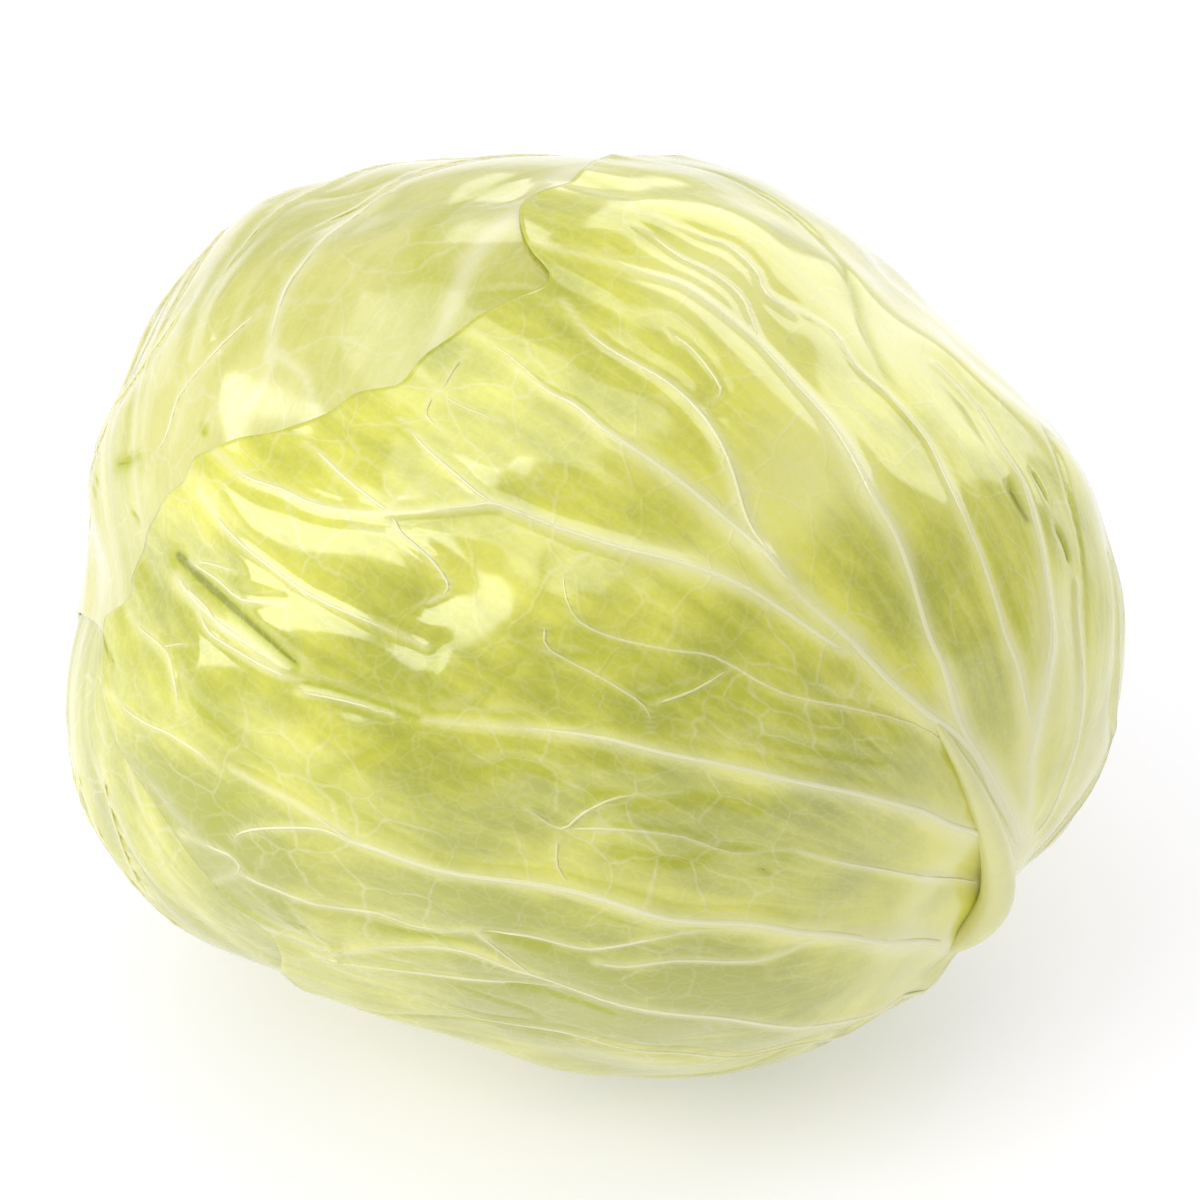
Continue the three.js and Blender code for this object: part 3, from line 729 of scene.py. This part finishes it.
def dress(order, ribs, headings, rings, material, creases=(), edge=None, deeper=0.0,
          patches=(), lift=1.0, gather=0.0, dents=()):
    """A leaf's blade, and its veins: the narrow pale crest of each rib. Where ribs gather at the fan's
    centre, each stands that much lower. The blade is pressed in at the dents, its margin is waved by the
    lift, and its green is made deeper all over as painted shade, and deeper or lighter in the patches:
    the leaf's own mottling together with painted shade and painted light."""
    leaf = LEAVES[order]
    leaf.order = order
    leaf.ribs = ribs
    leaf.creases = creases
    leaf.edge = edge or (lambda heading: reach_at(leaf, heading))
    leaf.deeper = deeper
    leaf.patches = patches
    leaf.lift = lift
    leaf.press = 1.2 if lift < 0.3 else 0.5
    leaf.gather = gather
    leaf.dents = dents
    blade_piece(leaf, headings, rings, material)
    cores = []
    for line in ribs:
        away, heading = in_fan(leaf, line.places / OUTLINE_RADIUS)
        _, open_air, plane = layers(order, line.places / OUTLINE_RADIUS)
        shown = (away < 0.97 * leaf.edge(heading)) & (open_air > 0.2) & (line.places[:, 2] > plane + 4)
        if shown.sum() < 4:
            continue
        first, last = np.flatnonzero(shown)[[0, -1]]
        share = np.array([first, last]) / (len(shown) - 1)
        widths = np.maximum(0.26 * blend(*line.widths, share), 0.62)
        cores.append(stroke(line.places[first:last + 1] / OUTLINE_RADIUS, widths, (0.4, 0.2), line.paleness))
    if cores:
        vein_piece(leaf, cores, material)


pale_leaf = leaf_material("pale_leaf", (0.7, 0.68, 0.2, 1), (0.5, 0.51, 0.05, 1), (0.8, 0.78, 0.52, 1))
green_leaf = leaf_material("green_leaf", (0.76, 0.75, 0.07, 1), (0.41, 0.43, 0.002, 1), (0.84, 0.82, 0.5, 1))

# The four inner leaves, which the photograph hides but for a strip of the deeper green one at the bottom,
# whose green is made deeper still all over as painted shade.
HIDDEN_RINGS = 120
hidden_headings = np.linspace(-180, 180, 280, endpoint=False)
for order in range(3):
    dress(order, grown_ribs(LEAVES[order], 5 + order), hidden_headings, HIDDEN_RINGS, pale_leaf)
# The under leaf, deepened all over as painted shade.
dress(3, grown_ribs(LEAVES[3], 8), hidden_headings, HIDDEN_RINGS, green_leaf, deeper=0.45)

# The top leaf: paler, with its midrib over the back of the head. Its side ribs show at the upper left.
top_ribs = [drawn(*row) for row in [
    ([(574, 157), (536, 188), (497, 226), (467, 265), (444, 314), (421, 356)], (5, 2.5), (1.2, 0.6)),
    ([(383, 192), (344, 222), (314, 265), (291, 295), (275, 337), (268, 375), (245, 410)], (4, 1.8),
     (1.0, 0.5)),
    ([(275, 353), (302, 375), (310, 418)], (2.2, 1.4), (0.6, 0.3)),
    ([(268, 314), (214, 364), (180, 398), (165, 437), (149, 467)], (2.2, 1.2), (0.5, 0.3), 0.7),
    ([(190, 300), (150, 360), (129, 392), (119, 415), (104, 470), (92, 530), (84, 600)], (2.4, 1.6),
     (0.6, 0.4), 0.8),
]]
top_creases = [drawn(*row) for row in [
    ([(126, 467), (134, 462), (142, 457)], (4, 2.6), (0.3, 0.3), 0.9),
    ([(108, 484), (106, 500)], (1.4, 1), (0.3, 0.3)),
    ([(134, 512), (137, 522)], (1.2, 1), (0.3, 0.3)),
    ([(203, 428), (207, 434)], (1.8, 1.4), (0.3, 0.3)),
    ([(213, 466), (222, 458)], (3, 2.4), (0.3, 0.3)),
]]
top_corner_heading = in_fan(LEAVES[4], from_photo([(72, 640)]))[1][0]


def top_edge(heading):
    """The reach of the CAD leaf, but a little less at its corner at the left of the photograph."""
    aside = (heading - top_corner_heading + 540) % 360 - 180
    return reach_at(LEAVES[4], heading) - 4 * np.exp(-(aside / 14) ** 2)


dress(4, grown_ribs(LEAVES[4], 12) + top_ribs, np.linspace(-180, 180, 420, endpoint=False), 200,
      pale_leaf, creases=top_creases, edge=top_edge, lift=0.15)

# The front leaf: the outermost and greenest, whose midrib and side ribs spread from its thick base at the
# lower right over the whole broad side.
front_ribs = [drawn(*row) for row in [
    ([(1010, 845), (1002, 819), (985, 786), (976, 759), (955, 733), (931, 716), (898, 687), (857, 645),
     (815, 608), (782, 575), (765, 552)], (7, 4), (1.8, 1.2)),
    ([(790, 582), (765, 552), (728, 519), (687, 486), (645, 457), (604, 432), (575, 407), (550, 394),
     (525, 374), (508, 359)], (4, 1.5), (1.2, 0.4)),
    ([(798, 592), (765, 545), (749, 519), (732, 473), (716, 440), (695, 409), (666, 382), (633, 361),
     (600, 340), (579, 320), (562, 295)], (3, 1.5), (0.9, 0.4)),
    ([(850, 650), (832, 643), (790, 614), (749, 589), (687, 564), (624, 548), (583, 535), (555, 526),
     (524, 514), (494, 504), (473, 507), (443, 511), (422, 514), (398, 516)], (3.6, 2.2), (1.1, 0.7)),
    ([(398, 516), (378, 502), (351, 481), (322, 455), (306, 444)], (2.2, 1.2), (0.6, 0.3)),
    ([(494, 504), (475, 491), (459, 477), (433, 455), (418, 440), (398, 415)], (2.2, 1.2), (0.6, 0.3)),
    ([(398, 518), (408, 536), (427, 553), (441, 569), (449, 589), (427, 604)], (1.8, 1), (0.5, 0.2)),
    ([(1014, 845), (1009, 825), (998, 800), (983, 767), (965, 733), (952, 698), (942, 665), (931, 639),
     (915, 585), (894, 535), (873, 502), (852, 465), (828, 423), (799, 386), (765, 345), (740, 324),
     (707, 299), (678, 282), (637, 270), (595, 258), (533, 245)], (6, 1.5), (1.8, 0.3)),
    ([(761, 336), (751, 310), (741, 293), (715, 273), (684, 257), (660, 242), (629, 224)], (2, 1),
     (0.5, 0.3)),
    ([(794, 314), (766, 293), (755, 273), (729, 250), (704, 240), (651, 218)], (2, 1), (0.5, 0.3)),
    ([(1030, 733), (1024, 700), (1016, 665), (1003, 634), (989, 589), (977, 556), (964, 527), (948, 486),
     (931, 448), (910, 419), (886, 390), (857, 365), (832, 332), (799, 311), (765, 291)], (3.4, 1.2),
     (0.9, 0.4)),
    ([(1018, 815), (1039, 675), (1044, 636), (1042, 604), (1035, 555), (1025, 507), (1016, 478),
     (999, 448), (984, 419), (975, 405), (953, 383), (931, 364)], (4.5, 1.6), (1.2, 0.5)),
    ([(1024, 832), (1047, 800), (1070, 738), (1075, 662), (1075, 585)], (4, 2), (1.1, 0.6)),
    ([(1030, 848), (1057, 830), (1085, 789), (1103, 738), (1115, 662), (1108, 560)], (4, 2), (1.1, 0.6)),
    ([(990, 848), (982, 838), (968, 828), (942, 820), (915, 807), (852, 790), (790, 778), (728, 765),
     (666, 753), (604, 738), (541, 730), (500, 726), (422, 720)], (6, 1.6), (1.8, 0.6)),
    ([(980, 879), (915, 875), (852, 865), (798, 852)], (2.6, 1.2), (0.7, 0.3)),
    ([(972, 924), (958, 930), (918, 940), (878, 937), (801, 929), (757, 923), (707, 921), (665, 915),
     (624, 903), (584, 893), (522, 880), (441, 865), (380, 848), (352, 840), (325, 822), (295, 803),
     (264, 789), (229, 771)], (7, 2), (2.2, 0.7)),
    ([(363, 846), (322, 831), (273, 830), (240, 834), (229, 842)], (2.2, 1.5), (0.6, 0.4)),
    ([(177, 838), (226, 854), (238, 872), (199, 889)], (2.2, 1.2), (0.6, 0.4)),
    ([(238, 872), (273, 889), (338, 910), (377, 917), (421, 930), (470, 928)], (2.6, 2), (0.8, 0.6)),
    ([(480, 927), (526, 932), (572, 944), (602, 947), (664, 938), (719, 931)], (2.2, 1.2), (0.6, 0.3)),
    ([(596, 960), (627, 964), (676, 961), (755, 961), (826, 937)], (2.2, 2), (0.6, 0.5)),
    ([(475, 927), (520, 965), (543, 976)], (2.2, 1.6), (0.6, 0.4)),
    ([(962, 934), (948, 942), (924, 967), (878, 999), (832, 1015), (771, 1017), (725, 1013), (664, 1006),
     (602, 996), (541, 975), (514, 968), (475, 954), (432, 949), (377, 949), (333, 954), (284, 941),
     (240, 930)], (6, 1.6), (1.8, 0.6)),
    ([(311, 960), (366, 969), (421, 978), (486, 984), (526, 987), (587, 992)], (2.4, 2), (0.7, 0.5)),
    ([(893, 1001), (863, 1022), (832, 1036), (786, 1050), (755, 1058), (725, 1060), (679, 1056),
     (633, 1051), (587, 1042), (526, 1033), (473, 1020), (421, 1001), (366, 984), (316, 963)], (4, 1.4),
     (1.0, 0.5)),
    ([(211, 496), (242, 534), (282, 567), (322, 596), (370, 620), (427, 648)], (2.2, 1.4), (0.6, 0.4)),
    ([(223, 453), (256, 480), (294, 494), (332, 510), (394, 518)], (2.2, 1.8), (0.6, 0.5)),
    ([(192, 562), (226, 581), (252, 600), (294, 604)], (1.6, 1.2), (0.5, 0.3)),
    ([(200, 562), (224, 566), (249, 574)], (1.4, 1.0), (0.4, 0.3), 0.8),
    ([(129, 611), (140, 628), (166, 647), (174, 660), (181, 694), (183, 716)], (1.8, 1.2), (0.5, 0.3),
     0.8),
    ([(101, 681), (125, 701), (152, 722), (174, 734), (199, 754), (215, 773)], (2, 1.2), (0.5, 0.3), 0.8),
]]

# The thinnest ribs, which join others of their kind or fade out in the net.
front_ribs += [drawn(pixels, (1.4, 1.0), (0.3, 0.2), 0.55) for pixels in [
    [(960, 752), (915, 725), (845, 707), (780, 692), (715, 657), (670, 650), (605, 635), (572, 612),
        (565, 570), (593, 548)],
    [(545, 625), (550, 650), (605, 680), (645, 707), (652, 732)],
    [(652, 705), (695, 690), (735, 665)],
    [(525, 810), (560, 832), (585, 815), (620, 800), (685, 795)],
    [(560, 832), (620, 832), (685, 840), (735, 857), (800, 850)],
    [(557, 840), (557, 870), (575, 890)],
    [(415, 366), (439, 392), (470, 410), (505, 423)],
    [(432, 393), (425, 414), (448, 435)],
    [(467, 349), (452, 370), (439, 392)],
    [(472, 332), (512, 358), (550, 392)],
    [(669, 330), (695, 351), (721, 388), (711, 403)],
    [(166, 647), (180, 644), (191, 643)],
]]

# Places where the blade is bent sharply or torn, and folds and shadow lines beside ribs: each a shallow
# groove, painted greener and darker along its line as painted shade.
front_creases_and_shadow_lines = [drawn(*row) for row in [
    ([(180, 556), (205, 580), (233, 602), (264, 629), (300, 662)], (5.0, 2.8), (1.2, 0.8)),
    ([(398, 524), (430, 523), (470, 516), (500, 513)], (2.2, 1.4), (0.3, 0.2), 0.4),
    ([(764, 873), (770, 877)], (1.4, 1.2), (0.3, 0.3)),
    ([(300, 679), (331, 687), (365, 701), (422, 720)], (2.2, 2), (0.5, 0.4), 0.8),
    ([(1010, 490), (1017, 505), (1024, 521)], (2.8, 2), (0.6, 0.4)),
    ([(1034, 475), (1041, 488), (1046, 500)], (1.6, 1.4), (0.4, 0.3)),
    ([(1053, 530), (1060, 545), (1065, 560)], (1.8, 1.4), (0.4, 0.3)),
    ([(511, 989), (560, 1001), (612, 1013)], (2.4, 2), (0.5, 0.4), 0.8),
    ([(377, 930), (420, 939), (470, 941)], (2.2, 2), (0.5, 0.4), 0.8),
    ([(486, 928), (520, 938), (552, 945)], (2.2, 2), (0.5, 0.4), 0.8),
    ([(101, 625), (108, 645), (117, 666)], (2.2, 1.6), (0.6, 0.4)),
    ([(548, 660), (600, 655), (650, 668), (690, 700)], (3.5, 3), (0.5, 0.3), 0.45),
    ([(640, 700), (700, 690), (760, 700), (820, 725)], (4, 3), (0.5, 0.3), 0.45),
    ([(760, 735), (820, 748), (880, 760)], (3, 2), (0.4, 0.3), 0.4),
    ([(590, 792), (650, 800), (700, 795), (760, 808)], (3.5, 3), (0.5, 0.3), 0.45),
    ([(480, 770), (520, 760), (560, 778)], (3, 2), (0.4, 0.3), 0.4),
    ([(620, 850), (680, 862), (740, 850), (790, 860)], (3.5, 2.5), (0.5, 0.3), 0.45),
    ([(600, 640), (560, 630), (520, 636)], (3, 2), (0.3, 0.3), 0.35),
    ([(440, 640), (430, 690), (436, 720)], (2.4, 2), (0.4, 0.3), 0.4),
]]
slit_lip = [drawn(*row) for row in [
    ([(180, 577), (198, 598), (226, 622), (256, 644), (286, 668)], (3.4, 2.2), (0.9, 0.6)),
    ([(188, 586), (214, 608), (232, 630), (270, 652)], (1.4, 1.0), (0.9, 0.5)),
    ([(205, 612), (216, 632), (237, 647), (275, 669), (304, 680)], (2.0, 1.4), (0.6, 0.4), 0.9),
    ([(300, 690), (345, 700), (395, 716)], (1.4, 1.0), (0.5, 0.4), 0.8),
]]
# Soft patches of deeper (above 0) and lighter green: pixel, radius in pixels, amount. Some are the leaf's own
# mottling and pale zones; the broad deeper ones low down are painted shade, and the lighter ones at the top
# are painted light.
front_mottling_and_painted_shading = [
    ((180, 800), 90, 0.7), ((330, 900), 100, 0.8), ((560, 1010), 120, 1.0), ((760, 1010), 90, 0.6),
    ((700, 830), 120, 0.2), ((850, 330), 130, -0.4), ((700, 300), 90, -0.3),
    ((800, 480), 80, -0.5), ((700, 560), 60, -0.2), ((620, 480), 50, -0.2), ((940, 500), 50, -0.2),
    ((990, 860), 45, -0.6), ((930, 880), 40, -0.35), ((1060, 620), 45, -0.45), ((1090, 560), 40, -0.3),
    ((1000, 380), 40, -0.25), ((900, 330), 60, -0.35), ((560, 690), 40, 0.35), ((640, 740), 40, 0.25),
    ((930, 600), 30, 0.3), ((960, 640), 30, 0.3), ((640, 700), 30, 0.3), ((800, 790), 40, 0.2),
    ((420, 850), 40, 0.3), ((480, 905), 50, 0.35), ((560, 990), 50, 0.3), ((280, 860), 30, 0.2),
    ((740, 700), 90, 0.25), ((600, 650), 90, -0.25), ((850, 740), 70, 0.3), ((690, 850), 80, 0.3),
    ((560, 800), 60, 0.3), ((905, 430), 30, 0.4), ((470, 380), 45, 0.3), ((440, 780), 50, 0.3),
    ((600, 620), 50, 0.15), ((840, 880), 50, 0.3), ((700, 980), 60, 0.25), ((160, 560), 40, 0.2),
    ((330, 900), 60, -0.3), ((260, 700), 60, -0.15), ((700, 260), 70, -0.25), ((1060, 700), 60, -0.4),
    ((500, 560), 50, -0.15), ((170, 720), 50, -0.3), ((820, 240), 60, -0.3),
]
front_mottling_and_shading_mounds = [
    (from_photo([pixel])[0], radius / PIXELS_PER_MM / OUTLINE_RADIUS, amount)
    for pixel, radius, amount in front_mottling_and_painted_shading]
front_margin_pixels = [
    (602, 150), (565, 180), (522, 200), (528, 245), (550, 275), (500, 305), (430, 350), (400, 380),
    (380, 386), (352, 392), (323, 415), (291, 429), (272, 436), (248, 442), (223, 453), (207, 462),
    (193, 482), (174, 498), (150, 535), (135, 576), (131, 596), (111, 615), (101, 623)]
near_headings = np.linspace(-112, 112, 400, endpoint=False)
far_headings = np.linspace(112, 248, 76, endpoint=False)
front_headings = np.concatenate([near_headings, far_headings])
margin_away, margin_heading = in_fan(LEAVES[5], from_photo(curved(front_margin_pixels, 4)))
in_order = np.argsort(margin_heading)
margin_heading, margin_away = margin_heading[in_order], margin_away[in_order]


def front_edge(heading):
    """The reach of the CAD leaf and a little more round the stalk, but where the photograph shows the margin
    the reach drawn from it."""
    heading = (heading + 180) % 360 - 180
    drawn_reach = np.interp(heading, margin_heading, margin_away)
    shown = smoothstep(heading, margin_heading[0], margin_heading[0] + 3) * (
        1 - smoothstep(heading, margin_heading[-1] - 3, margin_heading[-1]))
    collar = 2.5 * smoothstep(np.abs(heading), 135, 165)
    return blend(reach_at(LEAVES[5], heading) + collar, drawn_reach, shown)


# Where the blade lies lower or, below 0, higher beside its stalk: middle, radius over the head's own, depth
# in millimetres.
front_dents = [
    (from_photo([(972, 890)])[0], 0.09, -1.7), (from_photo([(1036, 884)])[0], 0.1, 2.4),
    (from_photo([(990, 958)])[0], 0.09, 2.6)]
dress(5, front_ribs + slit_lip, front_headings, 188, green_leaf, creases=front_creases_and_shadow_lines,
      edge=front_edge, patches=front_mottling_and_shading_mounds, lift=0.5, gather=0.75, dents=front_dents)

# The front leaf's own stalk: a smooth fleshy tube, half sunk in the blade, that carries the midrib round
# under the head. One edge of it is pale and sharp. Its slope away from the view has a limit.
STEEPEST = 1.3
PALE_EDGE = 2.55
PETIOLE_SIDES = 28
petiole_line = curved([
    # x, y, half thickness, depth behind the surface
    (925, 704, 0.5, 2.2), (948, 742, 1.0, 0.8), (966, 774, 1.6, -0.1), (981, 808, 2.3, -1.0),
    (992, 840, 2.8, -1.8), (997, 869, 3.2, -1.8), (996, 896, 3.4, -1.0), (986, 916, 3.4, -0.4),
    (969, 932, 3.0, 0.3), (950, 941, 2.5, 1.5), (930, 941, 2.0, 5), (905, 933, 1.4, 10)], 6)
petiole_pixels, petiole_half, petiole_sunk = petiole_line[:, :2], petiole_line[:, 2:3], petiole_line[:, 3:]
petiole_ray = rays(petiole_pixels)
petiole_way = from_photo(petiole_pixels)
petiole_low = mounds(petiole_way, front_dents) - 0.6
petiole_way = from_photo(petiole_pixels, petiole_low)
petiole_depth = (petiole_way * (head_radius(petiole_way) - petiole_low)[:, None]) @ OUT
petiole_step = np.linalg.norm(np.diff(petiole_pixels, axis=0), axis=1) / PIXELS_PER_MM
for index, step in enumerate(petiole_step):
    petiole_depth[index + 1] = max(petiole_depth[index + 1], petiole_depth[index] - STEEPEST * step)
petiole_reach = (petiole_depth - eye @ OUT) / (petiole_ray @ OUT)
petiole_middle = eye + petiole_ray * petiole_reach[:, None] - petiole_sunk * OUT
forward = np.gradient(petiole_middle, axis=0)
aside = unit(np.cross(forward, petiole_middle))
upward = unit(np.cross(aside, forward))
turn = np.linspace(0, 2 * np.pi, PETIOLE_SIDES, endpoint=False)
petiole_places = petiole_middle[:, None] + petiole_half[:, None] * (
    np.cos(turn)[:, None] * aside[:, None] + 0.95 * np.sin(turn)[:, None] * upward[:, None])
petiole_rings = len(petiole_line)
edge_line = np.exp(-((turn - PALE_EDGE) / 0.22) ** 2)
nothing = np.zeros(petiole_rings * PETIOLE_SIDES)
add_piece("front_leaf_petiole", petiole_places.reshape(-1, 3), tube_faces(petiole_rings, PETIOLE_SIDES), {
    "rib": np.tile(0.5 + 0.45 * edge_line, petiole_rings), "shade": nothing - 0.1, "crease_shade": nothing,
    "flow": np.zeros((len(nothing), 3))}, green_leaf, "front_leaf")

# The studio: a white floor that runs to the horizon, a wide soft light at the front left, another behind, a
# broad one overhead, and white all round.
floor_mesh = bpy.data.meshes.new("floor")
floor_mesh.from_pydata([(-3, -3, 0), (3, -3, 0), (3, 3, 0), (-3, 3, 0)], [], [(0, 1, 2, 3)])
floor_paint = Paint("floor_white")
floor_mesh.materials.append(floor_paint.finish(
    Base_Color=(0.66, 0.65, 0.71, 1), Roughness=0.7, Emission_Color=(1, 1, 1, 1), Emission_Strength=0.4))
floor = bpy.data.objects.new("floor", floor_mesh)
bpy.context.scene.collection.objects.link(floor)
floor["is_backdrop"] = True

for name, way, level, distance, size, power in [
        ("left_light", (-0.6, -0.58, 0.56), (0.82, -0.34, 0.46), 0.9, (1.24, 0.46), 4.6),
        ("back_light", (0.18, 0.89, 0.45), (1, 0, 0), 0.9, (1.1, 0.7), 3.4),
        ("top_light", (-0.1, -0.15, 1.0), (1, 0, 0), 1.1, (1.0, 1.0), 3.8)]:
    light_data = bpy.data.lights.new(name, "AREA")
    light_data.shape = "RECTANGLE"
    light_data.size, light_data.size_y = size
    light_data.energy = power
    light = bpy.data.objects.new(name, light_data)
    back = unit(np.array(way))
    high = unit(np.cross(back, level))
    light.matrix_world = mathutils.Matrix.LocRotScale(
        mathutils.Vector(HEAD_CENTRE / 1000 + back * distance),
        mathutils.Matrix(np.stack([np.cross(high, back), high, back], axis=1).tolist()), None)
    bpy.context.scene.collection.objects.link(light)
world = bpy.data.worlds.new("studio_white")
world.use_nodes = True
world.node_tree.nodes["Background"].inputs["Color"].default_value = (1, 1, 1, 1)
world.node_tree.nodes["Background"].inputs["Strength"].default_value = 0.5
bpy.context.scene.world = world
bpy.context.scene.view_settings.view_transform = "Standard"

low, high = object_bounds()
